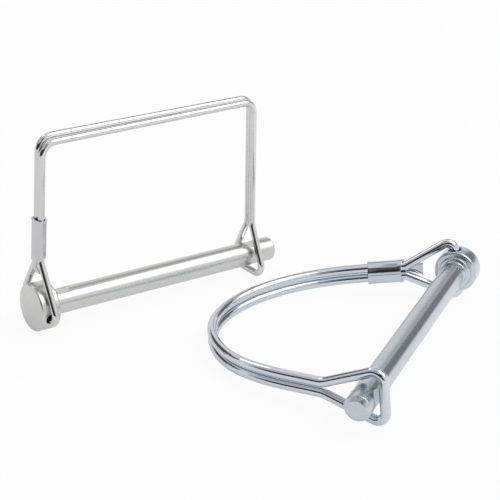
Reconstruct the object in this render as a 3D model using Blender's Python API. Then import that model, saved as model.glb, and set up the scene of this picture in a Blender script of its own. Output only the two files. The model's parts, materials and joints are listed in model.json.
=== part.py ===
"""Two wire lock pins, one with a square bail and one with a round bail.

Each lock is a cold-headed steel pin with a cross-hole through its head, one spring wire bent into a
double-strand bail that is hinged in that hole, and a crimped ferrule that holds the two strands
together. The far end of the bail is a loop that snaps over the tip of the pin.

Units are metres. Each pin has its own frame: X runs along the pin from the outer head face to the
tip, Z points towards the bail, and Y is the axis of the cross-hole. The square lock stands on its
head rim and its loop with the bail upright. The round lock lies on its head rim, the corner of its
loop and the far side of its bail.
"""
import math

import bmesh
import bpy
import numpy as np
from mathutils import Matrix, Vector

MM = 0.001

# ---------------------------------------------------------------- driving dimensions, millimetres
PIN_D = 8.0
COLLAR_D = 10.4
COLLAR_T = 0.8
NOTCH_HALF = 2.9          # half length of the side notches along the pin
NOTCH_DEPTH = 1.1
NOTCH_PAST_LOOP = 1.2     # from the closing side to the middle of the notches
NECK_HALF = 2.4           # half length of the pinched sides behind the head
NECK_DEPTH = 0.7
NOSE_FLAT_D = 5.8
NOSE_T = 1.2
HOLE_CLEARANCE = 1.5      # cross-hole diameter over the wire diameter
SHEET_T = 0.5             # ferrule sheet
SHEET_CLEARANCE = 0.15    # between the ferrule and the wire
CUT_GAP = 0.3             # between the two halves of a bail where the spring hinge is
PIVOT_OUT = 5.0           # spring hinge axis beyond the closing side, along the pin
LEG_BEND = 5.0            # bend from a head leg into its strand
FLARE_STEP = 1.3          # between the rings of the ferrule's flared mouth
TONGUE_ROOT = 0.6         # half width of the tongue where it leaves the ferrule
ARC_STEPS = 12            # facets of each rounded ferrule edge

SQUARE = {
    "name": "square",
    "length": 92.4,
    "head_d": 15.2,
    "head_t": 6.6,
    "wire_d": 2.2,
    "hole_x": 3.15,
    "hole_tilt": 13.5,        # degrees that the cross-hole is turned about the pin
    "tip_past_loop": 9.6,     # from the loop's closing side to the end of the nose
    "strand": 2.25,           # centre distance of the two strands
    "strand_rise": (1.45, 0.8),   # how much higher the far strand's two top corners are
    # near and far side: past the head's rim, where the straight leg would meet the hole's axis
    "leg_out": (4.45, 2.35),
    "head_bend": (1.8, 1.8),  # near and far side
    "leg_top": (0.0, 15.65),  # from the hole
    "left_top": (1.65, 53.5),     # from the hole
    "right_top": (-0.25, 54.3),   # from the loop
    "left_bend": 4.7,
    "right_bend": 3.8,
    "vee_top": (0.4, 11.35),  # from the loop
    "vee_bend": 6.0,
    "loop_gap": 0.3,          # between the shaft's outline and the closing side
    "corner_out": 5.5,        # past the shaft, where the straight leg would meet the closing side
    "loop_bend": 3.0,
    "cut_z": 49.6,            # height of the spring hinge
    "ferrule": (15.4, 28.9),  # lowest and highest point
    "tongue_end": 11.4,
    "tongue": [(0.5, -1.2, 1.1), (1.0, -0.5, 2.0)],   # share of the drop, offset, half width
}
ROUND = {
    "name": "round",
    "length": 104.0,
    "head_d": 13.9,
    "head_t": 6.1,
    "wire_d": 3.0,
    "hole_x": 3.2,
    "hole_tilt": 5.0,
    "tip_past_loop": 8.65,
    "strand": 3.3,
    "leg_out": (3.1, 3.65),
    "head_bend": (2.3, 2.4),
    "leg_top": (4.65, 16.1),
    "sleeve_line": [(5.004, 16.9), (7.151, 22.3), (9.399, 28.1)],   # the strands in the ferrule
    # the bail's outline above them: share of the way from the hole to the loop, and height
    "arc": [(0.1400, 35.6), (0.1801, 41.7), (0.2268, 47.2), (0.2843, 52.2), (0.3494, 56.4), (0.4178, 59.4),
            (0.4862, 61.2), (0.5567, 61.8), (0.6294, 61.2), (0.6999, 59.1), (0.7651, 55.7), (0.8204, 51.6),
            (0.8660, 47.0), (0.9018, 41.8), (0.9278, 36.2), (0.9452, 30.9), (0.9571, 25.8), (0.9658, 20.8)],
    "vee_top": (-1.85, 13.3),
    "vee_bend": 8.0,
    "loop_gap": -0.15,        # this closing side lies a little way into the notch
    "corner_out": 4.6,
    "loop_bend": 2.8,
    "cut_z": 38.0,
    "ferrule": (16.6, 28.0),
    "tongue_end": 11.0,
    "tongue": [(0.5, -1.2, 1.15), (1.0, -0.5, 2.1)],
}

# Where each lock lies: the outer head face's centre in the floor plane, then its turn about the
# vertical. How far it is pitched and rolled follows from what it rests on.
SQUARE_AT = (0.0, 0.0)
SQUARE_YAW = 0.0
ROUND_AT = (129.67, -54.15)
ROUND_YAW = -148.78

# colour, roughness and metallic value of each finish
FINISH = {
    "square_pin_zinc": ((0.62, 0.63, 0.61, 1.0), 0.34, 1.0),
    "square_wire_zinc": ((0.66, 0.67, 0.68, 1.0), 0.16, 1.0),
    "square_ferrule_zinc": ((0.60, 0.61, 0.63, 1.0), 0.28, 1.0),
    "round_pin_zinc": ((0.52, 0.57, 0.62, 1.0), 0.33, 1.0),
    "round_wire_zinc": ((0.58, 0.63, 0.70, 1.0), 0.14, 1.0),
    "round_ferrule_zinc": ((0.52, 0.57, 0.66, 1.0), 0.26, 1.0),
}


# ------------------------------------------------------------------------------------- helpers
def clear_scene():
    for old in list(bpy.data.objects):
        bpy.data.objects.remove(old, do_unlink=True)


def finish(name):
    """Principled material for one finish."""
    colour, roughness, metallic = FINISH[name]
    mat = bpy.data.materials.new(name)
    mat.use_nodes = True
    shader = mat.node_tree.nodes["Principled BSDF"]
    shader.inputs["Base Color"].default_value = colour
    shader.inputs["Roughness"].default_value = roughness
    shader.inputs["Metallic"].default_value = metallic
    mat.diffuse_color = colour
    return mat


def link(name, data, material):
    """Object for one sub-part, linked to the scene with its material."""
    obj = bpy.data.objects.new(name, data)
    bpy.context.scene.collection.objects.link(obj)
    data.materials.append(material)
    return obj


def seat(obj, origin, parent=None):
    """Put an object's origin at a point of its pin's frame, keeping its parent's offset."""
    obj["seat"] = [float(v) for v in origin]
    if parent is not None:
        obj.parent = parent
        obj.location = Vector(origin) - Vector(parent["seat"])
    return obj


def rounded(points, radii, step=math.radians(10)):
    """Polyline with its inner corners rounded, each to its own radius; 0 keeps a point as it is."""
    path = [Vector(points[0])]
    for before, corner, after, radius in zip(points, points[1:], points[2:], radii):
        corner = Vector(corner)
        back = (Vector(before) - corner).normalized()
        ahead = (Vector(after) - corner).normalized()
        turn = math.pi - back.angle(ahead)
        if radius == 0 or turn < 1e-4:
            path.append(corner)
            continue
        reach = radius * math.tan(turn / 2)
        centre = corner + (back + ahead).normalized() * (radius / math.cos(turn / 2))
        start = corner + back * reach - centre
        axis = start.cross(corner + ahead * reach - centre).normalized()
        count = max(2, math.ceil(turn / step))
        for i in range(count + 1):
            path.append(centre + Matrix.Rotation(turn * i / count, 3, axis) @ start)
    path.append(Vector(points[-1]))
    return path


def smooth_outline(points, count=3):
    """Catmull-Rom curve through the points of an outline in the bail's plane."""
    pts = [Vector(p) for p in points]
    pts = [2 * pts[0] - pts[1]] + pts + [2 * pts[-1] - pts[-2]]
    out = []
    for p0, p1, p2, p3 in zip(pts, pts[1:], pts[2:], pts[3:]):
        for i in range(count):
            t = i / count
            out.append(0.5 * (2 * p1 + (p2 - p0) * t + (2 * p0 - 5 * p1 + 4 * p2 - p3) * t ** 2
                              + (3 * p1 - p0 - 3 * p2 + p3) * t ** 3))
    out.append(pts[-2])
    return out


def wire(name, path, diameter, origin, material):
    """Round wire along a path, closed at both ends, as a curve with a round bevel."""
    curve = bpy.data.curves.new(name, "CURVE")
    curve.dimensions = "3D"
    curve.bevel_depth = diameter / 2 * MM
    curve.bevel_resolution = 4
    curve.use_fill_caps = True
    line = curve.splines.new("POLY")
    line.points.add(len(path) - 1)
    for point, place in zip(line.points, path):
        point.co = (*((place - Vector(origin)) * MM), 1.0)
    line.use_smooth = True
    obj = link(name, curve, material)
    return seat(obj, [v * MM for v in origin])


# ---------------------------------------------------------------------------------------- pins
def pin_profile(spec):
    """Half section of a pin as (distance along the pin, radius)."""
    head = spec["head_d"] / 2
    back = spec["head_t"]
    collar = COLLAR_D / 2
    shaft = PIN_D / 2
    tip = spec["length"]
    flat = NOSE_FLAT_D / 2
    return [
        (0, 0), (0, head - 0.55), (0.12, head - 0.22), (0.5, head),
        (back - 0.8, head), (back - 0.25, head - 0.2), (back, head - 0.75),
        (back, collar + 0.1), (back + COLLAR_T * 0.6, collar - 0.05),
        (back + COLLAR_T, collar - 0.45), (back + COLLAR_T + 0.7, shaft),
        (tip - NOSE_T, shaft), (tip - 0.3, flat + 0.25), (tip - 0.08, flat + 0.06), (tip, flat - 0.1),
        (tip, 0),
    ]


def cutter(name, radius, depth, place, parent, tilt_deg=0.0):
    """Cylinder along Y, or turned about X, that a Boolean on the pin subtracts."""
    mesh = bpy.data.meshes.new(name)
    bm = bmesh.new()
    bmesh.ops.create_cone(bm, cap_ends=True, segments=48, radius1=radius * MM, radius2=radius * MM,
                          depth=depth * MM, matrix=Matrix.Rotation(math.pi / 2, 4, "X"))
    bm.to_mesh(mesh)
    bm.free()
    obj = bpy.data.objects.new(name, mesh)
    bpy.context.scene.collection.objects.link(obj)
    obj.parent = parent
    obj.location = Vector(place) * MM
    obj.rotation_euler = (math.radians(tilt_deg), 0, 0)
    obj.hide_render = True
    obj.display_type = "WIRE"
    cut = parent.modifiers.new(name, "BOOLEAN")
    cut.operation = "DIFFERENCE"
    cut.solver = "EXACT"
    cut.object = obj
    return obj


def scallop(spec, tag, x, half, depth, parent):
    """Two shallow hollows across the pin, one on the bail side and one opposite."""
    radius = (half ** 2 + depth ** 2) / (2 * depth)
    away = PIN_D / 2 - depth + radius
    for side, word in ((1, "upper"), (-1, "lower")):
        cutter(f"cut_{spec['name']}_{tag}_{word}", radius, 4 * PIN_D, (x, 0, side * away), parent)


def make_pin(spec, material):
    """Headed pin with its cross-hole and its pinched sides, turned about X."""
    name = f"{spec['name']}_lock_pin"
    bm = bmesh.new()
    profile = [bm.verts.new((x * MM, 0, r * MM)) for x, r in pin_profile(spec)]
    edges = [bm.edges.new(pair) for pair in zip(profile, profile[1:])]
    bmesh.ops.spin(bm, geom=profile + edges, cent=(0, 0, 0), axis=(1, 0, 0), angle=2 * math.pi,
                   steps=64, use_merge=True)
    bmesh.ops.remove_doubles(bm, verts=bm.verts, dist=1e-6)
    bmesh.ops.recalc_face_normals(bm, faces=bm.faces)
    mesh = bpy.data.meshes.new(name)
    bm.to_mesh(mesh)
    bm.free()
    pin = seat(link(name, mesh, material), (0, 0, 0))
    hole_r = (spec["wire_d"] + HOLE_CLEARANCE) / 2
    cutter(f"cut_{spec['name']}_hole", hole_r, 2 * spec["head_d"], (spec["hole_x"], 0, 0), pin,
           spec["hole_tilt"])
    scallop(spec, "notch", loop_x(spec) + NOTCH_PAST_LOOP, NOTCH_HALF, NOTCH_DEPTH, pin)
    neck_x = spec["head_t"] + COLLAR_T + 0.7 + NECK_HALF
    scallop(spec, "neck", neck_x, NECK_HALF, NECK_DEPTH, pin)
    for face in mesh.polygons:
        face.use_smooth = True
    return pin


# --------------------------------------------------------------------------------------- bails
def loop_x(spec):
    return spec["length"] - spec["tip_past_loop"]


def closing_z(spec):
    return -(PIN_D / 2 + spec["loop_gap"] + spec["wire_d"] / 2)


def from_hole(spec, key):
    return spec["hole_x"] + spec[key][0], spec[key][1]


def from_loop(spec, key):
    return loop_x(spec) + spec[key][0], spec[key][1]


def arc_points(spec):
    """Outline of a round bail between its head leg and its V, in its own plane."""
    reach = loop_x(spec) - spec["hole_x"]
    held = [(spec["hole_x"] + x, z) for x, z in spec["sleeve_line"]]
    return held + [(spec["hole_x"] + share * reach, z) for share, z in spec["arc"]]


def cut_x(spec, outline):
    """Where an outline comes down through the height at which the bail is split."""
    for (x0, z0), (x1, z1) in zip(outline, outline[1:]):
        if z0 >= spec["cut_z"] > z1:
            return x0 + (x1 - x0) * (z0 - spec["cut_z"]) / (z0 - z1)
    raise ValueError("the outline never comes down to the cut")


def outlines(spec, side):
    """One strand's points and bend radii: hinge side from the hole to the cut, then loop side."""
    y = side * spec["strand"] / 2
    near_side = 0 if side < 0 else 1
    head_bend = spec["head_bend"][near_side]
    hole = (spec["hole_x"], 0, 0)
    out = Vector((0, side * (spec["head_d"] / 2 + spec["leg_out"][near_side]), 0))
    out.rotate(Matrix.Rotation(math.radians(spec["hole_tilt"]), 3, "X"))
    corner = (spec["hole_x"], out.y, out.z)
    top_x, top_z = from_hole(spec, "leg_top")
    vee_x, vee_z = from_loop(spec, "vee_top")
    loop = (loop_x(spec), side * (PIN_D / 2 + spec["corner_out"]), closing_z(spec))
    closing = (loop_x(spec), 0, closing_z(spec))
    if "arc" in spec:
        plane = [tuple(p) for p in smooth_outline([(top_x, top_z), *arc_points(spec), (vee_x, vee_z)])]
        x = cut_x(spec, plane)
        # The outline rises first, so only its descending part is compared with the cut height.
        up = [(x, y, z) for x, z in plane[1:-1]]
        crest = max(range(len(up)), key=lambda i: up[i][2])
        near = up[:crest] + [p for p in up[crest:] if p[2] > spec["cut_z"] + 1.0]
        far = [p for p in up[crest:] if p[2] < spec["cut_z"] - 1.0]
        near_radii = [head_bend, LEG_BEND] + [0] * len(near)
        far_radii = [0] * len(far) + [spec["vee_bend"], spec["loop_bend"]]
    else:
        left_lift, right_lift = (side * rise / 2 for rise in spec["strand_rise"])
        left_x, left_z = from_hole(spec, "left_top")
        right_x, right_z = from_loop(spec, "right_top")
        run = (right_z - spec["cut_z"]) / (right_z - vee_z)
        x = right_x + (vee_x - right_x) * run
        near = [(left_x, y, left_z + left_lift), (right_x, y, right_z + right_lift)]
        far = []
        near_radii = [head_bend, LEG_BEND, spec["left_bend"], spec["right_bend"]]
        far_radii = [spec["vee_bend"], spec["loop_bend"]]
    cut_hi = (x, y, spec["cut_z"] + CUT_GAP / 2)
    cut_lo = (x, y, spec["cut_z"] - CUT_GAP / 2)
    hinge_side = rounded([hole, corner, (top_x, y, top_z)] + near + [cut_hi], near_radii)
    loop_side = rounded([cut_lo] + far + [(vee_x, y, vee_z), loop, closing], far_radii)
    return hinge_side, loop_side


def make_bail(spec, pin, material):
    """The bent wire in two pieces that meet at the spring hinge."""
    near_front, far_front = outlines(spec, -1)
    near_back, far_back = outlines(spec, 1)
    hinge_at = (spec["hole_x"], 0, 0)
    spring_at = (loop_x(spec) + PIVOT_OUT, 0, spec["cut_z"])
    upper = wire(f"{spec['name']}_bail_hinge_side", near_front[::-1] + near_back[1:],
                 spec["wire_d"], hinge_at, material)
    lower = wire(f"{spec['name']}_bail_loop_side", far_front + far_back[::-1][1:],
                 spec["wire_d"], spring_at, material)
    seat(upper, upper["seat"], pin)
    seat(lower, lower["seat"], upper)
    return upper, lower


# ------------------------------------------------------------------------------------ ferrules
def stadium(bm, wide, thick, root):
    """Flat-sided oval face in the XY plane, wide along Y, with two extra points on each flat."""
    flat = wide - thick
    half_turn = [math.pi * (i / ARC_STEPS - 0.5) for i in range(ARC_STEPS + 1)]
    outline = [(flat + thick * math.cos(a), thick * math.sin(a)) for a in half_turn]
    outline += [(root, thick)]
    outline += [(-y, t) for y, t in outline[::-1]]
    outline += [(-root, -thick), (root, -thick)]
    return bm.faces.new([bm.verts.new((t * MM, y * MM, 0)) for y, t in outline])


def ferrule_stations(spec):
    """Centres along the two parallel strands, with the direction across the bail's plane edge."""
    low, high = spec["ferrule"]
    if "arc" in spec:
        line = [tuple(p) for p in smooth_outline([from_hole(spec, "leg_top"), *arc_points(spec)[:5]])]
    else:
        line = [from_hole(spec, "leg_top"), from_hole(spec, "left_top")]
    heights = [low, low + FLARE_STEP, low + 2 * FLARE_STEP]
    heights += [low + (high - low) * share for share in (0.45, 0.7, 0.85, 1.0)]
    stations = []
    for z in heights:
        for (x0, z0), (x1, z1) in zip(line, line[1:]):
            if z <= z1 or (x1, z1) == tuple(line[-1]):
                x = x0 + (x1 - x0) * (z - z0) / (z1 - z0)
                along = Vector((x1 - x0, 0, z1 - z0)).normalized()
                break
        stations.append(((x, 0, z), Vector((along.z, 0, -along.x)), along))
    return stations


def make_ferrule(spec, parent, material):
    """Crimped sleeve with a flared mouth and a tongue that keeps the two legs apart."""
    name = f"{spec['name']}_ferrule"
    bm = bmesh.new()
    stations = ferrule_stations(spec)
    wire_r = spec["wire_d"] / 2
    inner_thick = wire_r + SHEET_CLEARANCE
    outer_wide = spec["strand"] / 2 + inner_thick + SHEET_T
    # The sheet's end is an oval inset by its thickness; that ring is extruded from mouth to mouth.
    oval = stadium(bm, outer_wide, inner_thick + SHEET_T, TONGUE_ROOT)
    oval.normal_update()
    ring = bmesh.ops.inset_region(bm, faces=[oval], thickness=SHEET_T * MM, use_boundary=True,
                                  use_even_offset=True)["faces"]
    bmesh.ops.delete(bm, geom=[oval], context="FACES_ONLY")
    mouth = list(ring)
    section = [(v, v.co.copy()) for v in bm.verts]
    flare = [0.45, 0.12] + [0] * (len(stations) - 2)
    for i, ((centre, across, along), wider) in enumerate(zip(stations, flare)):
        if i:
            grown = bmesh.ops.extrude_face_region(bm, geom=ring)["geom"]
            if i > 1:
                bmesh.ops.delete(bm, geom=ring, context="FACES_ONLY")
            ring = [g for g in grown if isinstance(g, bmesh.types.BMFace)]
            verts = [g for g in grown if isinstance(g, bmesh.types.BMVert)]
            last = {tuple(v.co): flat_co for v, flat_co in section}
            section = [(v, last[tuple(v.co)]) for v in verts]
        for v, flat_co in section:
            y = flat_co.y + math.copysign(wider * MM, flat_co.y)
            v.co = Vector(centre) * MM + Vector(across) * flat_co.x + Vector((0, y, 0))
    # The tongue grows out of the mouth's wall on the head side and leans in between the legs.
    centre, across, along = stations[0]
    middle = Vector(centre) * MM
    root = min(mouth, key=lambda f: (round(abs(f.calc_center_median().y), 7),
                                     (f.calc_center_median() - middle).dot(across)))
    drop = spec["ferrule"][0] - spec["tongue_end"]
    last_out, last_down = -(inner_thick + SHEET_T / 2), 0
    for down, out, half in spec["tongue"]:
        root = bmesh.ops.extrude_discrete_faces(bm, faces=[root])["faces"][0]
        move = across * (out - last_out) - along * drop * (down - last_down)
        bmesh.ops.translate(bm, verts=root.verts, vec=move * MM)
        for v in root.verts:
            v.co.y = math.copysign(half * MM, v.co.y)
        last_out, last_down = out, down
    bmesh.ops.recalc_face_normals(bm, faces=bm.faces)
    bmesh.ops.translate(bm, verts=bm.verts, vec=-Vector(parent["seat"]))
    for face in bm.faces:
        face.smooth = True
    mesh = bpy.data.meshes.new(name)
    bm.to_mesh(mesh)
    bm.free()
    return seat(link(name, mesh, material), parent["seat"], parent)


# ------------------------------------------------------------------------------------ assembly
def shown_points(objects):
    """World positions of every evaluated vertex of some objects."""
    bpy.context.view_layer.update()
    graph = bpy.context.evaluated_depsgraph_get()
    points = []
    for obj in objects:
        shown = obj.evaluated_get(graph)
        points += [shown.matrix_world @ v.co for v in shown.to_mesh().vertices]
        shown.to_mesh_clear()
    return np.array(points)


def tilt(pitch, roll):
    return Matrix.Rotation(pitch, 3, "Y") @ Matrix.Rotation(roll, 3, "X")


def settle(supports, pitch, roll):
    """Pitch and roll that bring the lowest points of two or three supports to one height."""
    def steps(angles):
        lowest = [(points @ np.array(tilt(*angles))[2]).min() for points in supports]
        return np.diff(lowest)

    angles = np.array([pitch, roll])
    free = len(supports) - 1
    for _ in range(12):
        now = steps(angles)
        slope = np.zeros((free, free))
        for i in range(free):
            nudge = np.zeros(2)
            nudge[i] = 1e-5
            slope[:, i] = (steps(angles + nudge) - now) / 1e-5
        angles[:free] -= np.linalg.solve(slope, now)
    return angles


def place_lock(pin, at, yaw, angles):
    """Turn about Z, then pitch and roll about the pin's own axes."""
    frame = Matrix.Rotation(math.radians(yaw), 3, "Z") @ tilt(*angles)
    pin.matrix_world = Matrix.Translation(Vector((at[0], at[1], 0)) * MM) @ frame.to_4x4()


def make_lock(spec):
    """All pieces of one lock, unplaced: its pin, the two halves of its bail and its ferrule."""
    tag = spec["name"]
    pin = make_pin(spec, finish(f"{tag}_pin_zinc"))
    upper, lower = make_bail(spec, pin, finish(f"{tag}_wire_zinc"))
    ferrule = make_ferrule(spec, upper, finish(f"{tag}_ferrule_zinc"))
    return [pin, upper, lower, ferrule]


def main():
    clear_scene()
    # The square lock stands on its head rim and the closing side of its loop.
    square = make_lock(SQUARE)
    angles = settle([shown_points(square[:1]), shown_points(square[2:3])], 0.0, 0.0)
    place_lock(square[0], SQUARE_AT, SQUARE_YAW, angles)
    # The round lock lies on its lower head leg, a corner of its loop and the far side of its bail.
    lying = make_lock(ROUND)
    wire_points = shown_points(lying[1:2])
    height = wire_points[:, 2].max()
    supports = [wire_points[wire_points[:, 2] < height / 4], shown_points(lying[2:3]),
                wire_points[wire_points[:, 2] > height / 2]]
    place_lock(lying[0], ROUND_AT, ROUND_YAW, settle(supports, 0.0, math.radians(96)))
    # Each lock is let down onto the floor, then both are centred on the origin.
    for pieces in (square, lying):
        pieces[0].location.z -= shown_points(pieces)[:, 2].min()
    cloud = shown_points(square + lying)
    middle = (cloud.min(axis=0) + cloud.max(axis=0)) / 2
    for pieces in (square, lying):
        pieces[0].location.x -= middle[0]
        pieces[0].location.y -= middle[1]
    bpy.context.view_layer.update()


main()
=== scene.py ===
# %% [markdown]
# # Two wire lock pins
# A wire lock pin holds a hitch, a coupler or an implement together. A headed steel pin goes through
# the hole, and a spring wire bail, hinged in the pin's head, snaps over the far end so that the pin
# can't work out. Two of them lie here: one has a square bail and stands on edge, the other has a
# round bail and lies almost flat. Both are zinc plated, the first neutral, the second bluer.
#
# The CAD model gives the places, the joints and the collision shapes. This script makes the pieces
# that are seen: finer, with small edge rounds, and with the finish of each kind of steel.

# %% Load the CAD frame
import json
import math

import bpy
import bmesh
from mathutils import Matrix, Vector


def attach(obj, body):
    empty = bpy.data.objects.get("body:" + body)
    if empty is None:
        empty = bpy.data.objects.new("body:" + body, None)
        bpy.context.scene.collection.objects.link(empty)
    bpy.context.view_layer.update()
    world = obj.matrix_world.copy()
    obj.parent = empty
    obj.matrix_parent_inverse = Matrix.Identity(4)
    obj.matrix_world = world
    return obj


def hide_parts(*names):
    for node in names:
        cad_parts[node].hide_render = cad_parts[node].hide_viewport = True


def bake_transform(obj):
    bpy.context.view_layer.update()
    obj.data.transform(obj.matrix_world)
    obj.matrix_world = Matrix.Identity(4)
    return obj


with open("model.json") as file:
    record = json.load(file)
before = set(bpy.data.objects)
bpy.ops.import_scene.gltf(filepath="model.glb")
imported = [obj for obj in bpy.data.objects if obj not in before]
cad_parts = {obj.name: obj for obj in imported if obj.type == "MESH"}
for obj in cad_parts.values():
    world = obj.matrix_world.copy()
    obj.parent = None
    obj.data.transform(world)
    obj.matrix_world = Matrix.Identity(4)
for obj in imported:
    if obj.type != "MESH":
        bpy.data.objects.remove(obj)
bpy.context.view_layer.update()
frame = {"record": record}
MM = 0.001

# %% [markdown]
# ## Where each lock lies
# The pin's head face and nose face are mounts in the record, and the bail's hinge axis is a joint.
# Those three facts fix each lock's own frame: X along the pin, Z up the bail, Y across it. The hole
# is drilled a few degrees off Y, so its axis is turned back by that much first. Everything below is
# modelled in that frame in millimetres and then put in its place.

# %% Each lock's own frame
mounts = {m["name"]: m for m in frame["record"]["mounts"]}
joints = {j["name"]: j for j in frame["record"]["behaviour"]["joints"]}
HOLE_TILT = {"square": math.radians(13.5), "round": math.radians(5.0)}


def pin_ends(tag):
    """Centres of a pin's outer head face and nose face, in metres."""
    return [Vector(mounts[f"{tag}_{end}_face"]["pos_m"]) for end in ("head", "tip")]


def lock_frame(tag):
    """Matrix from a lock's own millimetres to the world."""
    head, nose = pin_ends(tag)
    x = (nose - head).normalized()
    y = Vector(joints[f"{tag}_bail_swing"]["axis"])
    y = Matrix.Rotation(-HOLE_TILT[tag], 3, x) @ (y - x * y.dot(x)).normalized()
    turn = Matrix((x, y, x.cross(y))).transposed().to_4x4()
    return Matrix.Translation(head) @ turn @ Matrix.Scale(MM, 4)


places = {tag: lock_frame(tag) for tag in ("square", "round")}
lengths = {}
for tag in places:
    head, nose = pin_ends(tag)
    lengths[tag] = (nose - head).length / MM
print("pin lengths in mm:", {tag: round(v, 1) for tag, v in lengths.items()})

# %% [markdown]
# ## Sizes
# Both locks are made the same way, so one table holds what differs between them. The keys are the
# features a toolmaker would dimension: head, hole, wire, the bail's outline and its bends. A place
# in the bail's plane is given as (x, z), from the centre of the outer head face.

# %% Sizes of both locks, in millimetres
SHAFT_D = 8.0
# A pair of leg lengths or bends is for the near side (-Y) and the far side. Each row of a tongue
# says how far down it is, as a share of the whole drop, then its x from the strands' middle plane
# and its half width.
LOCKS = {
    "square": {
        "head_d": 15.2, "head_t": 6.6, "hole_x": 3.15, "hole_d": 3.7, "wire_d": 2.2,
        "strand": 2.25, "loop_x": 82.8, "leg_end": (12.05, 9.95), "head_bend": (1.8, 1.8),
        "leg_top": (3.15, 15.65), "strand_top": (4.8, 53.5), "crossbar_end": (82.55, 54.3),
        "corner_bends": (4.7, 3.8), "strand_rise": (1.45, 0.8),
        "vee_top": (83.2, 11.35), "vee_bend": 6.0,
        "corner_y": 9.5, "loop_bend": 3.0, "loop_gap": 0.3,
        "ferrule": (15.4, 28.9), "mouth_slant": 33.0, "tongue_end": 11.4,
        "tongue": [(0.5, -1.2, 1.1), (1.0, -0.5, 2.0)],
    },
    "round": {
        "head_d": 13.9, "head_t": 6.1, "hole_x": 3.2, "hole_d": 4.5, "wire_d": 3.0,
        "strand": 3.3, "loop_x": 95.35, "leg_end": (10.05, 10.6), "head_bend": (2.3, 2.4),
        "leg_top": (7.85, 16.1), "strand_top": (12.6, 28.1),
        "vee_top": (93.5, 13.3), "vee_bend": 8.0,
        "corner_y": 8.6, "loop_bend": 2.8, "loop_gap": -0.15,
        "ferrule": (16.1, 28.6), "mouth_slant": 22.0, "tongue_end": 10.3,
        "tongue": [(0.5, -1.2, 1.15), (1.0, -0.5, 2.1)],
        "outline": [
            (8.2, 16.9), (10.35, 22.3), (12.6, 28.1), (16.1, 35.6), (19.8, 41.7), (24.1, 47.2),
            (29.4, 52.2), (35.4, 56.4), (41.7, 59.4), (48.0, 61.2), (54.5, 61.8), (61.2, 61.2),
            (67.7, 59.1), (73.7, 55.7), (78.8, 51.6), (83.0, 47.0), (86.3, 41.8), (88.7, 36.2),
            (90.3, 30.9), (91.4, 25.8), (92.2, 20.8)],
    },
}
print("closing side to nose:", {t: round(lengths[t] - LOCKS[t]["loop_x"], 2) for t in LOCKS})

# %% [markdown]
# ## Helpers for modelling
# An operator acts on all that is selected, so everything is deselected before a new piece starts.
# A finished piece is moved into the world through its mesh, so its object stays at the origin.

# %% Select nothing, apply, place
def deselect():
    if bpy.context.object and bpy.context.object.mode != "OBJECT":
        bpy.ops.object.mode_set(mode="OBJECT")
    bpy.ops.object.select_all(action="DESELECT")


def only(obj):
    """Make one object the selected and active one."""
    deselect()
    obj.select_set(True)
    bpy.context.view_layer.objects.active = obj


def apply_modifiers(obj):
    only(obj)
    for modifier in list(obj.modifiers):
        bpy.ops.object.modifier_apply(modifier=modifier.name)


def apply_place():
    """Move the active object's place, turn and scale into its mesh."""
    bpy.ops.object.transform_apply(location=True, rotation=True, scale=True)


def close_up():
    """Leave edit mode with every face pointing outwards."""
    bpy.ops.mesh.select_all(action="SELECT")
    bpy.ops.mesh.normals_make_consistent(inside=False)
    bpy.ops.object.mode_set(mode="OBJECT")


def put_in_place(obj, tag, name):
    """Name a finished piece and move it from its lock's millimetres into the world."""
    only(obj)
    obj.matrix_world = places[tag] @ obj.matrix_world
    apply_place()
    obj.name = name
    obj.data.name = name
    size = [round(v / MM, 1) for v in obj.dimensions]
    print(name, "faces:", len(obj.data.polygons), "size mm:", size)
    return obj


# %% Soften the edges of a piece
def break_edges(obj, width, sharper_than):
    """Round every edge that is sharper than an angle in degrees."""
    bevel = obj.modifiers.new("broken edges", "BEVEL")
    bevel.width = width
    bevel.segments = 2
    bevel.limit_method = "ANGLE"
    bevel.angle_limit = math.radians(sharper_than)
    apply_modifiers(obj)


def smooth_below(degrees):
    """Shade the active object smooth, but for the edges that are sharper than an angle."""
    bpy.ops.object.shade_smooth_by_angle(angle=math.radians(degrees))


# %% [markdown]
# ## The pin
# A real pin is cold-headed from bar: a punch upsets the thick head and the thin collar under it.
# The cross-hole is then drilled, the shaft is pinched in a press behind the head and near the tip,
# and the nose is chamfered. The same order works here. A circle is extruded along the pin and
# scaled at each station, which is a lathe with no window to work in. Then cutters take away the
# hole and the pinched hollows, and a small bevel breaks the sharp edges, as the tumbling before
# plating does.

# %% Turn a pin from a list of stations
PIN_SIDES = 96


def turned(stations):
    """Solid of revolution about X, extruded from station to station: (x, radius)."""
    deselect()
    x, r = stations[0]
    bpy.ops.mesh.primitive_circle_add(
        vertices=PIN_SIDES, radius=r, fill_type="NGON", location=(x, 0, 0),
        rotation=(0, math.pi / 2, 0))
    obj = bpy.context.object
    bpy.ops.object.mode_set(mode="EDIT")
    bpy.ops.mesh.select_all(action="SELECT")
    for x1, r1 in stations[1:]:
        bpy.ops.mesh.extrude_region_move(TRANSFORM_OT_translate={"value": (x1 - x, 0, 0)})
        scale = r1 / r
        bpy.ops.transform.resize(value=(1, scale, scale), center_override=(x1, 0, 0))
        x, r = x1, r1
    close_up()
    apply_place()
    return obj


def arc_stations(cx, cr, radius, start, end, count):
    """Stations on a circular edge round, in degrees from +X towards +radius."""
    angles = [math.radians(start + (end - start) * i / count) for i in range(count + 1)]
    return [(cx + radius * math.cos(a), cr + radius * math.sin(a)) for a in angles]


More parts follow.
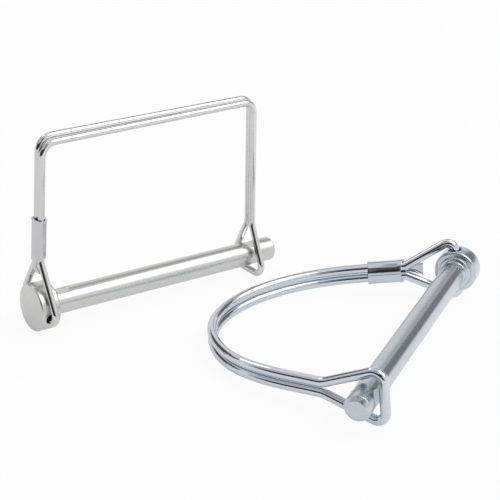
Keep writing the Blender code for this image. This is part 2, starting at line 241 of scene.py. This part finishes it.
# %% Half section of a pin, in millimetres
FACE_ROUND = 0.5        # edge of the outer head face
BACK_ROUND = 0.8        # edge of the head's back
COLLAR_R = 5.2
COLLAR_ROUND = 0.35
COLLAR_MIDDLE = 0.45    # from the head's back to the middle of the collar's round
GROOVE = 0.02           # into the head's back, at the collar's foot
FILLET = 0.6            # between the collar and the shaft
FILLET_MIDDLE = 1.4     # from the head's back to the middle of the fillet
LAST_RING = 12          # from the nose to the last ring of faces on the plain shaft
CHAMFER = 1.3           # from the nose to where the chamfer starts
CHAMFER_ROUND = 0.3
NOSE_ROUND = 0.2
NOSE_MIDDLE = 2.65      # from the axis to the middle of the nose's round


def pin_stations(tag):
    """From the outer head face over head, collar and shaft to the nose."""
    size = LOCKS[tag]
    head, back, shaft, tip = size["head_d"] / 2, size["head_t"], SHAFT_D / 2, lengths[tag]
    rows = arc_stations(FACE_ROUND, head - FACE_ROUND, FACE_ROUND, 180, 90, 5)
    rows += arc_stations(back - BACK_ROUND, head - BACK_ROUND, BACK_ROUND, 90, 10, 6)
    # The head's flat back ends in a slight groove at the collar's foot.
    rows += [(back, COLLAR_R + 0.35), (back - GROOVE, COLLAR_R + 0.12)]
    rows += arc_stations(back + COLLAR_MIDDLE, COLLAR_R - COLLAR_ROUND, COLLAR_ROUND, 90, 0, 4)
    rows += arc_stations(back + FILLET_MIDDLE, shaft + FILLET, FILLET, 180, 270, 4)
    rows += [(tip - LAST_RING, shaft)]
    rows += arc_stations(tip - CHAMFER, shaft - CHAMFER_ROUND, CHAMFER_ROUND, 90, 45, 3)
    rows += arc_stations(tip - NOSE_ROUND, NOSE_MIDDLE, NOSE_ROUND, 45, 0, 3)
    return rows


pins = {tag: turned(pin_stations(tag)) for tag in LOCKS}
print("blank faces:", {tag: len(pin.data.polygons) for tag, pin in pins.items()})

# %% [markdown]
# The hole is a plain drilled cylinder. The pinched hollows are shallow troughs across the pin, on
# the bail's side and opposite it, each cut by a fat cylinder whose belly just dips into the shaft.

# %% Drill the hole and press the hollows
DRILL_SIDES = 48
PRESS_SIDES = 192
CUTTER_LENGTH = 40
# Each hollow: from the loop's closing side or the head's back to its middle, half length, depth.
NOTCH = (1.2, 2.9, 1.1)
NECK = (3.9, 2.4, 0.7)


def cross_cylinder(radius, place, sides, tilt=0.0):
    """Cylinder that lies along Y, or is turned from it about X."""
    deselect()
    bpy.ops.mesh.primitive_cylinder_add(
        vertices=sides, radius=radius, depth=CUTTER_LENGTH, location=place,
        rotation=(math.pi / 2 + tilt, 0, 0))
    return bpy.context.object


def cut(obj, cutter):
    modifier = obj.modifiers.new("cut", "BOOLEAN")
    modifier.operation = "DIFFERENCE"
    modifier.solver = "EXACT"
    modifier.object = cutter
    apply_modifiers(obj)
    bpy.data.objects.remove(cutter, do_unlink=True)


def press_hollows(obj, start, past, half, depth):
    """Two troughs, each with the arc that is as long and as deep as asked."""
    radius = (half * half + depth * depth) / (2 * depth)
    for side in (1, -1):
        place = (start + past, 0, side * (SHAFT_D / 2 - depth + radius))
        cut(obj, cross_cylinder(radius, place, PRESS_SIDES))


for tag, pin in pins.items():
    size = LOCKS[tag]
    drill_r, drill_at = size["hole_d"] / 2, (size["hole_x"], 0, 0)
    cut(pin, cross_cylinder(drill_r, drill_at, DRILL_SIDES, tilt=HOLE_TILT[tag]))
    press_hollows(pin, size["loop_x"], *NOTCH)
    press_hollows(pin, size["head_t"], *NECK)
    print(tag, "pin after cutting:", len(pin.data.polygons), "faces")

# %% Break the edges and place the pins
TUMBLED_EDGE = 0.16
for tag, pin in pins.items():
    break_edges(pin, TUMBLED_EDGE, sharper_than=24)
    smooth_below(35)
    put_in_place(pin, tag, f"{tag}_pin_body")
    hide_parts(f"{tag}_lock_pin")
    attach(pin, "pins")

# %% [markdown]
# ## The bail
# Each bail is a single spring wire, bent on a wire former into two strands side by side. A curve
# with a round bevel could follow the same path, but bending a real section is closer to the work
# and keeps every corner a true arc. So a round section is pushed out for each straight run and spun
# about the former's pin for each bend. The wire starts and ends inside the ferrule.

# %% A wire former: its two moves
WIRE_SIDES = 36
BEND_STEP = math.radians(5)
SHORTEST = 1e-4     # a run or a turn smaller than this is left out


def start_wire(place, along, diameter):
    """Round section of a wire, ready in edit mode to be pushed out."""
    deselect()
    turn = Vector(along).to_track_quat("Z", "Y").to_euler()
    bpy.ops.mesh.primitive_circle_add(
        vertices=WIRE_SIDES, radius=diameter / 2, fill_type="NGON", location=place, rotation=turn)
    apply_place()
    bpy.ops.object.mode_set(mode="EDIT")
    bpy.ops.mesh.select_all(action="SELECT")
    return bpy.context.object


def run_straight(step):
    if step.length > SHORTEST:
        bpy.ops.mesh.extrude_region_move(TRANSFORM_OT_translate={"value": step})


def bend(centre, axis, angle, finest=BEND_STEP):
    """Spin turns a positive angle clockwise about its axis, so the sign is changed here."""
    steps = max(1, math.ceil(angle / finest))
    bpy.ops.mesh.spin(steps=steps, dupli=False, angle=-angle, center=centre, axis=axis)


# %% A wire former: one wire through its corners
def form_wire(points, radii, diameter):
    """Wire through a list of corners, with one bend radius for each inner corner."""
    points = [Vector(p) for p in points]
    wire = start_wire(points[0], points[1] - points[0], diameter)
    here = points[0]
    for before, corner, after, radius in zip(points, points[1:], points[2:], radii):
        back, ahead = (before - corner), (after - corner)
        turn = math.pi - back.angle(ahead)
        if turn < SHORTEST:
            continue
        # Where two bends meet, each takes up no more than half of the run between them.
        reach = min(radius * math.tan(turn / 2), back.length / 2, ahead.length / 2)
        radius = reach / math.tan(turn / 2)
        entry = corner + back.normalized() * reach
        leave = corner + ahead.normalized() * reach
        middle = back.normalized() + ahead.normalized()
        centre = corner + middle.normalized() * (radius / math.cos(turn / 2))
        axis = (entry - centre).cross(leave - centre).normalized()
        run_straight(entry - here)
        bend(centre, axis, turn)
        here = leave
    run_straight(points[-1] - here)
    close_up()
    return wire


# %% [markdown]
# ## The bend drawing
# The square bail has only straight sides and corner bends. The round bail's outline is a spline
# through gauge points, bent as a chain of small arcs that each take up half of their two runs.

# %% Gauge points to a smooth outline
RUNS = 3    # between two gauge points


def smooth_outline(points):
    """Catmull-Rom curve through the gauge points, in the bail's own plane."""
    pts = [Vector(p) for p in points]
    pts = [2 * pts[0] - pts[1]] + pts + [2 * pts[-1] - pts[-2]]
    out = []
    for p0, p1, p2, p3 in zip(pts, pts[1:], pts[2:], pts[3:]):
        for i in range(RUNS):
            t = i / RUNS
            out.append(0.5 * (2 * p1 + (p2 - p0) * t + (2 * p0 - 5 * p1 + 4 * p2 - p3) * t ** 2
                              + (3 * p1 - p0 - 3 * p2 + p3) * t ** 3))
    out.append(pts[-2])
    return out


# %% Corners of one strand, from the cross-hole to the closing side
LEG_BEND = 5.0
WIDE = 500.0    # a bend this wide takes up half of its two runs


def strand(tag, side):
    """Corners and bend radii of one strand, on the near side (-1) or the far side (1)."""
    size = LOCKS[tag]
    near_or_far = 0 if side < 0 else 1
    reach, tilt = side * size["leg_end"][near_or_far], HOLE_TILT[tag]
    leg_end = (size["hole_x"], reach * math.cos(tilt), reach * math.sin(tilt))
    y = side * size["strand"] / 2
    low = -(SHAFT_D / 2 + size["loop_gap"] + size["wire_d"] / 2)
    if "outline" in size:
        outline = smooth_outline([size["leg_top"], *size["outline"], size["vee_top"]])
        middle = [(p.x, y, p.y) for p in outline[1:-1]]
        bends = [WIDE] * len(middle)
    else:
        # The far strand's two top corners lie a little higher than the near strand's.
        rises = [side * rise / 2 for rise in size["strand_rise"]]
        ends = (size["strand_top"], size["crossbar_end"])
        middle = [(x, y, z + rise) for (x, z), rise in zip(ends, rises)]
        bends = size["corner_bends"]
    (leg_x, leg_z), (vee_x, vee_z) = size["leg_top"], size["vee_top"]
    corners = [(size["hole_x"], 0, 0), leg_end, (leg_x, y, leg_z), *middle, (vee_x, y, vee_z),
               (size["loop_x"], side * size["corner_y"], low), (size["loop_x"], 0, low)]
    head_bend = size["head_bend"][near_or_far]
    return corners, [head_bend, LEG_BEND, *bends, size["vee_bend"], size["loop_bend"]]


print("corners of one strand:", {tag: len(strand(tag, 1)[0]) for tag in LOCKS})

# %% Corners of a whole wire
WIRE_START = 0.35   # share of the ferrule's height at which the wire's ends meet
END_GAP = 0.1       # from there to each end, in millimetres


def wire_plan(tag):
    """Up the back strand from the ferrule, round the closing side and the hole, and back to it."""
    (front, front_radii), (back, back_radii) = strand(tag, -1), strand(tag, 1)
    low, high = LOCKS[tag]["ferrule"]
    height = low + WIRE_START * (high - low)
    # k is the first corner of the back strand above that height; corners 0 to 2 are the leg's.
    k = next(i for i, p in enumerate(back) if i > 2 and p[2] > height)
    a, b = Vector(back[k - 1]), Vector(back[k])
    middle = a.lerp(b, (height - a.z) / (b.z - a.z))
    gap = (b - a).normalized() * END_GAP
    corners = [middle + gap, *back[k:-1], *front[-2:0:-1], *back[1:k], middle - gap]
    radii = [*back_radii[k - 1:], *front_radii[::-1], *back_radii[:k - 1]]
    return corners, radii


wires = {}
for tag, size in LOCKS.items():
    wire = form_wire(*wire_plan(tag), size["wire_d"])
    smooth_below(50)
    wires[tag] = put_in_place(wire, tag, f"{tag}_bail_wire")

# %% [markdown]
# The CAD splits each bail where a sprung hinge stands in for the wire's flex. The seen wire isn't
# split. Real spring wire bends gradually between the two bodies when the loop is pulled off, but
# the seen wire isn't made to bend: its place is moved into its mesh, and the CAD's two halves are
# hidden.

# %% Keep the wire whole and hide the CAD's two halves
for tag, wire in wires.items():
    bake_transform(wire)
    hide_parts(f"{tag}_bail_hinge_side", f"{tag}_bail_loop_side")

# %% [markdown]
# ## The ferrule
# The ferrule is a strip of sheet steel that a press wraps round both strands. Its back is flat and
# runs down into a tongue between the legs. One flap comes up flat from its strand, the other curls
# over from the other side, and they meet in a seam between the strands. A short edge, as long as
# the sheet is thick, is spun round each strand in turn, as the press does. The flat profile that it
# sweeps is then pushed up along the strands.

# %% The wrapped profile of a sheet
SHEET = 0.5
SHEET_GAP = 0.15                  # between the sheet and the wire
TONGUE_ROOT = 0.6                 # half width of the tongue where it leaves the back
SEAM_GAP = 0.14
FLAP_RISE = math.radians(12)      # of the flat flap, from the -Y strand out to the seam
SHOULDER = math.radians(50)       # where the round flap leaves the +Y strand for its wider curve
FOLD_STEP = math.radians(7.5)
CLOCKWISE = (0, 0, -1)


def wrap_profile(half, inner):
    """Flat C of sheet round two strands that stand at y = -half and y = half; its back is at -x."""
    deselect()
    radius = inner + SHEET / 2
    rise, run = math.sin(FLAP_RISE), math.cos(FLAP_RISE)
    outward = Vector((-rise, -run, 0))
    flap = (half - SEAM_GAP / 2 + radius * rise) / run
    seam = Vector((radius * run, -radius * rise - half, 0)) - outward * flap
    # A square of sheet stands with one side at the seam. The rest of it is deleted, which leaves
    # that side as the edge to start from.
    bpy.ops.mesh.primitive_plane_add(size=SHEET, location=seam - outward * SHEET / 2,
                                     rotation=(0, 0, -FLAP_RISE - math.pi / 2))
    obj = bpy.context.object
    apply_place()
    bpy.ops.object.mode_set(mode="EDIT")
    bpy.ops.mesh.select_mode(type="VERT")
    bpy.ops.mesh.select_all(action="DESELECT")
    bm = bmesh.from_edit_mesh(obj.data)
    for vert in bm.verts:
        vert.select_set((vert.co - seam).dot(outward) < -SHEET / 2)
    bpy.ops.mesh.delete(type="VERT")
    bpy.ops.mesh.select_all(action="SELECT")
    # The flat flap, its strand, the back with the tongue's root in it, then the round flap.
    run_straight(outward * flap)
    bend((0, -half, 0), CLOCKWISE, math.pi - FLAP_RISE, FOLD_STEP)
    for step in (half - TONGUE_ROOT, 2 * TONGUE_ROOT, half - TONGUE_ROOT):
        run_straight(Vector((0, step, 0)))
    bend((0, half, 0), CLOCKWISE, math.pi - SHOULDER, FOLD_STEP)
    wider = radius + (half - SEAM_GAP) / math.sin(SHOULDER)
    middle = ((radius - wider) * math.cos(SHOULDER), SEAM_GAP, 0)
    bend(middle, CLOCKWISE, SHOULDER, FOLD_STEP)
    bpy.ops.mesh.select_all(action="SELECT")
    return obj


# %% Select faces or vertices by where they are
def select_where(obj, test, kind="faces"):
    """In edit mode, select only the faces or vertices whose centre and normal pass a test."""
    bpy.ops.mesh.select_all(action="DESELECT")
    bpy.ops.mesh.select_mode(type="FACE" if kind == "faces" else "VERT")
    bm = bmesh.from_edit_mesh(obj.data)
    for item in getattr(bm, kind):
        place = item.calc_center_median() if kind == "faces" else item.co
        if test(place, item.normal):
            item.select_set(True)
    bm.select_flush_mode()
    bmesh.update_edit_mesh(obj.data)


# %% Slant the mouth and draw out the tongue
MOUTH_WIDER = 1.06


def slant_mouth(obj, size, back):
    """The lower mouth is trimmed on the slant: the back stays long, the flaps are cut shorter."""
    slant = math.radians(size["mouth_slant"])
    select_where(obj, lambda place, normal: place.z < 1e-4, "verts")
    bpy.ops.transform.rotate(value=slant, orient_axis="Y", center_override=(back, 0, 0))
    bpy.ops.transform.resize(value=(1 / math.cos(slant), MOUTH_WIDER, 1),
                             center_override=(back, 0, 0))


def draw_tongue(obj, size, back, tall):
    """The tongue leaves the back wall and widens as it leans in between the legs."""
    drop = size["ferrule"][0] - size["tongue_end"]

    def is_root(place, normal):
        in_back = abs(place.y) < 0.1 and place.x < 0
        return abs(normal.z) > 0.5 and in_back and place.z < tall / 2

    select_where(obj, is_root)
    here, wide, down = back + SHEET / 2, TONGUE_ROOT, 0.0
    for share, across, half_width in size["tongue"]:
        step = (across - here, 0, -drop * share - down)
        bpy.ops.mesh.extrude_region_move(TRANSFORM_OT_translate={"value": step})
        here, down = across, -drop * share
        bpy.ops.transform.resize(value=(1, half_width / wide, 1), center_override=(here, 0, down))
        wide = half_width


# %% Push the profile along the strands and finish the ferrule
HEIGHT_SHARES = (0.25, 0.35, 0.34, 0.06)
TOP_MOUTH = (1.06, 1.05, 1)     # the upper mouth is rolled a little open


def wrapped_ferrule(tag):
    """One ferrule, in its lock's millimetres."""
    size = LOCKS[tag]
    half, inner = size["strand"] / 2, size["wire_d"] / 2 + SHEET_GAP
    back = -(inner + SHEET)
    low, high = size["ferrule"]
    tall = high - low
    obj = wrap_profile(half, inner)
    for share in HEIGHT_SHARES:
        run_straight(Vector((0, 0, tall * share)))
    bpy.ops.transform.resize(value=TOP_MOUTH, center_override=(0, 0, tall))
    slant_mouth(obj, size, back)
    draw_tongue(obj, size, back, tall)
    close_up()
    # Lean it along the strands and stand it at its height.
    (x0, z0), (x1, z1) = size["leg_top"], size["strand_top"]
    obj.location = (x0 + (x1 - x0) * (low - z0) / (z1 - z0), 0, low)
    obj.rotation_euler = (0, math.atan2(x1 - x0, z1 - z0), 0)
    apply_place()
    return obj


ROLLED_EDGE = 0.09
for tag in LOCKS:
    ferrule = wrapped_ferrule(tag)
    break_edges(ferrule, ROLLED_EDGE, sharper_than=50)
    smooth_below(40)
    put_in_place(ferrule, tag, f"{tag}_ferrule_sleeve")
    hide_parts(f"{tag}_ferrule")
    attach(ferrule, f"{tag}_bail")

# %% [markdown]
# ## Finishes
# Everything here is steel with a thin electroplated coat of zinc. The square lock has a neutral,
# clear passivate, and the round one a blue-bright passivate. Zinc is a bright metal, and what it
# shows is mostly its surroundings, so each finish is a metal with little colour, the right
# roughness, and a fine relief that breaks the reflections as the real surface does.

# %% Colours and the node helper
def linear(code):
    """sRGB hex to a linear colour."""
    parts = [int(code[i:i + 2], 16) / 255 for i in (1, 3, 5)]
    return (*[v / 12.92 if v <= 0.04045 else ((v + 0.055) / 1.055) ** 2.4 for v in parts], 1.0)


def add_node(tree, kind, settings=None, inputs=None):
    """Add a node with its settings; an input given as another node's output is linked to it."""
    node = tree.nodes.new(kind)
    for key, value in (settings or {}).items():
        setattr(node, key, value)
    for key, value in (inputs or {}).items():
        if isinstance(value, bpy.types.NodeSocket):
            tree.links.new(value, node.inputs[key])
        else:
            node.inputs[key].default_value = value
    return node


def new_material(name):
    mat = bpy.data.materials.new(name)
    mat.use_nodes = True
    return mat, mat.node_tree, mat.node_tree.nodes["Principled BSDF"]


def coat(piece, mat):
    piece.data.materials.clear()
    piece.data.materials.append(mat)
    print(piece.name, "is finished in", mat.name)


# %% A lock's own millimetres, for patterns
def lock_coordinates(tree, tag, stretch):
    """Object coordinates turned into a lock's own frame, in millimetres."""
    back = places[tag].inverted()
    coords = add_node(tree, "ShaderNodeTexCoord")
    turned_in = add_node(tree, "ShaderNodeMapping", inputs={
        "Vector": coords.outputs["Object"], "Location": back.to_translation(),
        "Rotation": back.to_euler(), "Scale": (1 / MM,) * 3})
    return add_node(tree, "ShaderNodeVectorMath", {"operation": "MULTIPLY"},
                    {0: turned_in.outputs["Vector"], 1: stretch}).outputs["Vector"]


# %% [markdown]
# One recipe covers all of the plating. Fine grain makes the roughness vary and lifts the surface by
# a few thousandths of a millimetre, which gives a satin sparkle. A broad, faint cloud shifts the
# colour, as the thickness of the plating shifts over a piece.

# %% Zinc plate
NOISE = (0.3, 0.7)      # most of a noise texture's values lie between these
ROUGH_SPREAD = 0.15     # how far the grain takes the roughness up and down, as a share
CLOUDS = 0.12           # for each grain


def zinc(name, tag, colour, dull, roughness, grain_mm, relief_mm, stretch=(1, 1, 1)):
    mat, tree, shader = new_material(name)
    vector = lock_coordinates(tree, tag, stretch)
    grain = add_node(tree, "ShaderNodeTexNoise", inputs={
        "Vector": vector, "Scale": 1 / grain_mm, "Detail": 3.0, "Roughness": 0.6})
    cloud = add_node(tree, "ShaderNodeTexNoise", inputs={
        "Vector": vector, "Scale": CLOUDS / grain_mm, "Detail": 2.0})
    tint = add_node(tree, "ShaderNodeMix", {"data_type": "RGBA"}, {
        "Factor": cloud.outputs["Fac"], 6: linear(colour), 7: linear(dull)})
    tree.links.new(tint.outputs[2], shader.inputs["Base Color"])
    rough = add_node(tree, "ShaderNodeMapRange", inputs={
        "Value": grain.outputs["Fac"], "From Min": NOISE[0], "From Max": NOISE[1],
        "To Min": roughness * (1 - ROUGH_SPREAD), "To Max": roughness * (1 + ROUGH_SPREAD)})
    tree.links.new(rough.outputs["Result"], shader.inputs["Roughness"])
    bump = add_node(tree, "ShaderNodeBump", inputs={
        "Height": grain.outputs["Fac"], "Strength": 1.0, "Distance": relief_mm * MM})
    tree.links.new(bump.outputs["Normal"], shader.inputs["Normal"])
    shader.inputs["Metallic"].default_value = 1.0
    return mat


# %% The six finishes
# Each row: colour, duller colour, roughness, grain and relief in millimetres. The crystals of
# plated zinc are a few hundredths of a millimetre, so all grain is drawn coarser, to show at all.
# Pins are tumbled before plating, which leaves them satin: they show soft, broad light.
# Spring wire comes smooth from its die, so it is the brightest and shows the room's dark openings
# as lines. Its draw marks run along it: they are stretched in the bail's plane, not across it.
# Ferrules are cold-rolled sheet, between the two: smooth, but dulled where the press gripped them.
ALONG_WIRE = (0.06, 5.0, 0.06)
FINISHES = {
    "square": {
        "pin_body": ("#DCDCDA", "#D2D2D1", 0.28, 0.25, 0.004),
        "bail_wire": ("#DEDEDE", "#D6D6D7", 0.09, 0.6, 0.001, ALONG_WIRE),
        "ferrule_sleeve": ("#D2D2D5", "#CACACD", 0.17, 0.4, 0.001),
    },
    "round": {
        "pin_body": ("#CED5DB", "#C4CCD2", 0.25, 0.22, 0.002),
        "bail_wire": ("#DADFE5", "#D0D7E0", 0.07, 0.6, 0.001, ALONG_WIRE),
        "ferrule_sleeve": ("#D0D6DE", "#C7CED9", 0.11, 0.4, 0.001),
    },
}
PLATING = {"square": "clear_zinc", "round": "blue_zinc"}
UNDER = {"pin_body": "tumbled_steel", "bail_wire": "drawn_wire", "ferrule_sleeve": "rolled_sheet"}
for tag, finishes in FINISHES.items():
    for piece, recipe in finishes.items():
        mat = zinc(f"{PLATING[tag]}_on_{UNDER[piece]}", tag, *recipe)
        coat(bpy.data.objects[f"{tag}_{piece}"], mat)

# %% [markdown]
# ## Floor, light and camera
# A polished metal shows its studio, so the studio matters as much as the metal. The locks lie on
# white paper in a white tent. One big soft box hangs up to their right and a small one behind them
# to the left. The tent has dim openings, and those give bright wire its dark lines.
#
# The paper glows a little: this is painted light, which stands in for the light that falls on it.
# It is painted brightest on the lamp's side, so that the undersides of the metal grow darker
# towards the other side.

# %% Floor
PAPER_SIZE = 8      # metres, so that its edge is far away
LAMPWARD = (0.777, -0.629, 0)
GLOW_FROM, GLOW_TO = 0.02, 0.07         # metres lampward of the middle, where the painted glow rises
GLOW_LOW, GLOW_HIGH = 0.38, 0.95        # share of plain white that the metal sees in the paper's painted glow
CAMERA_WHITE = 0.92                     # the same for the camera; the rest keeps the shadows
deselect()
bpy.ops.mesh.primitive_plane_add(size=PAPER_SIZE, location=(0, 0, 0))
floor = bpy.context.object
floor.name = "studio_floor"
paper, tree, shader = new_material("white_paper")
shader.inputs["Base Color"].default_value = linear("#F4F4F4")
shader.inputs["Roughness"].default_value = 0.9
place = add_node(tree, "ShaderNodeTexCoord")
# Painted light: the paper's glow is painted brighter towards the lamp, as a stand-in for its light.
lampward = add_node(tree, "ShaderNodeVectorMath", {"operation": "DOT_PRODUCT"}, {
    0: place.outputs["Object"], 1: LAMPWARD})
painted_glow = add_node(tree, "ShaderNodeMapRange", inputs={
    "Value": lampward.outputs["Value"], "From Min": GLOW_FROM, "From Max": GLOW_TO,
    "To Min": GLOW_LOW, "To Max": GLOW_HIGH})
path = add_node(tree, "ShaderNodeLightPath")
seen = add_node(tree, "ShaderNodeMath", {"operation": "MULTIPLY"}, {
    0: path.outputs["Is Camera Ray"], 1: CAMERA_WHITE})
share = add_node(tree, "ShaderNodeMath", {"operation": "MAXIMUM"}, {
    0: painted_glow.outputs["Result"], 1: seen.outputs[0]})
white = add_node(tree, "ShaderNodeEmission", inputs={"Color": (1, 1, 1, 1), "Strength": 1.0})
mixed = add_node(tree, "ShaderNodeMixShader", inputs={
    0: share.outputs[0], 1: shader.outputs[0], 2: white.outputs[0]})
tree.links.new(mixed.outputs[0], tree.nodes["Material Output"].inputs["Surface"])
coat(floor, paper)

# %% [markdown]
# The tent is the world: white cloth, dimmer wherever there is an opening. The direction of a ray
# gives its compass bearing and its height, and each opening is an ellipse in those two angles,
# with a soft edge. Each dims the light by its own share, so they are multiplied one after another.

# %% The tent and its openings
# Each opening: compass bearing and height of its middle, half its width and height, in degrees,
# and how much of the tent's brightness it takes away.
OPENINGS = [
    (-14, 21, 28, 13, 0.9), (85, 24, 17, 19, 0.8), (-116, 11, 54, 21, 0.96),
    (-152, 38, 20, 12, 0.85), (-66, 20, 14, 9, 0.5), (-93, 45, 55, 26, 0.3),
    (-101, 66, 35, 12, 0.5), (50, 49, 26, 13, 0.55), (66, 32, 14, 8, 0.3)]
TENT = 0.85                             # brightness of its cloth
EDGE_INSIDE, EDGE_OUTSIDE = 0.8, 1.2    # an opening's soft edge, in shares of its size
DEGREES = 57.3                          # in one radian
world = bpy.data.worlds.new("studio")
bpy.context.scene.world = world
world.use_nodes = True
tree = world.node_tree


def calculate(operation, *values):
    node = add_node(tree, "ShaderNodeMath", {"operation": operation}, dict(enumerate(values)))
    return node.outputs[0]


coords = add_node(tree, "ShaderNodeTexCoord")
ray = add_node(tree, "ShaderNodeSeparateXYZ", inputs={0: coords.outputs["Generated"]})
bearing = calculate("ARCTAN2", ray.outputs["X"], ray.outputs["Y"])
height = calculate("ARCSINE", ray.outputs["Z"])
brightness = TENT
for middle, level, wide, tall, depth in OPENINGS:
    sideways = calculate("SUBTRACT", bearing, math.radians(middle))
    upwards = calculate("SUBTRACT", height, math.radians(level))
    across = calculate("POWER", calculate("MULTIPLY", sideways, DEGREES / wide), 2)
    up = calculate("POWER", calculate("MULTIPLY", upwards, DEGREES / tall), 2)
    far = calculate("SQRT", calculate("ADD", across, up))
    left = add_node(tree, "ShaderNodeMapRange", {"interpolation_type": "SMOOTHSTEP"}, {
        "Value": far, "From Min": EDGE_INSIDE, "From Max": EDGE_OUTSIDE,
        "To Min": 1 - depth, "To Max": 1.0})
    brightness = calculate("MULTIPLY", left.outputs["Result"], brightness)
tree.links.new(brightness, tree.nodes["Background"].inputs["Strength"])
tree.nodes["Background"].inputs["Color"].default_value = (1, 1, 1, 1)
print("openings in the tent:", len(OPENINGS))


# %% [markdown]
# A soft box is an area lamp. Its brightness is set for each square metre of its face, so that it
# looks equally bright in the metal whatever its size.

# %% Lamps
def soft_box(name, bearing, height, distance, size, radiance):
    """Area lamp that faces the object; bearing and height are angles seen from the object."""
    lamp = bpy.data.lights.new(name, "AREA")
    lamp.shape = "RECTANGLE"
    lamp.size, lamp.size_y = size
    lamp.energy = radiance * math.pi * size[0] * size[1]
    obj = bpy.data.objects.new(name, lamp)
    bpy.context.scene.collection.objects.link(obj)
    a, e = math.radians(bearing), math.radians(height)
    away = Vector((math.sin(a) * math.cos(e), math.cos(a) * math.cos(e), math.sin(e)))
    obj.location = away * distance
    obj.rotation_euler = away.to_track_quat("Z", "Y").to_euler()
    print(name, "at", [round(v, 2) for v in obj.location])


# Bearings are compass degrees: 39 is straight behind the object, 129 to its right.
soft_box("overhead_box", 132, 54, 0.95, (0.8, 0.72), 1.6)
soft_box("back_box", -18, 46, 1.0, (0.22, 0.2), 2.0)

# %% [markdown]
# A long lens from half a metre away draws the near lock only a little larger than the far one.

# %% Camera
# It stands 0.47 m away and looks down at the locks at 23 degrees.
CAMERA_AT = (-0.260973, -0.327684, 0.205829)
CAMERA_TURN = (67.0915, -0.9112, -35.9490)      # degrees
camera_data = bpy.data.cameras.new("camera")
camera_data.lens = 108.0
camera_data.sensor_width = 36.0
camera_data.clip_start = 0.01
camera = bpy.data.objects.new("camera", camera_data)
bpy.context.scene.collection.objects.link(camera)
camera.location = CAMERA_AT
camera.rotation_euler = [math.radians(a) for a in CAMERA_TURN]
bpy.context.scene.camera = camera
bpy.context.scene.view_settings.view_transform = "Standard"
print("camera is", round(camera.location.length, 2), "m from the middle")
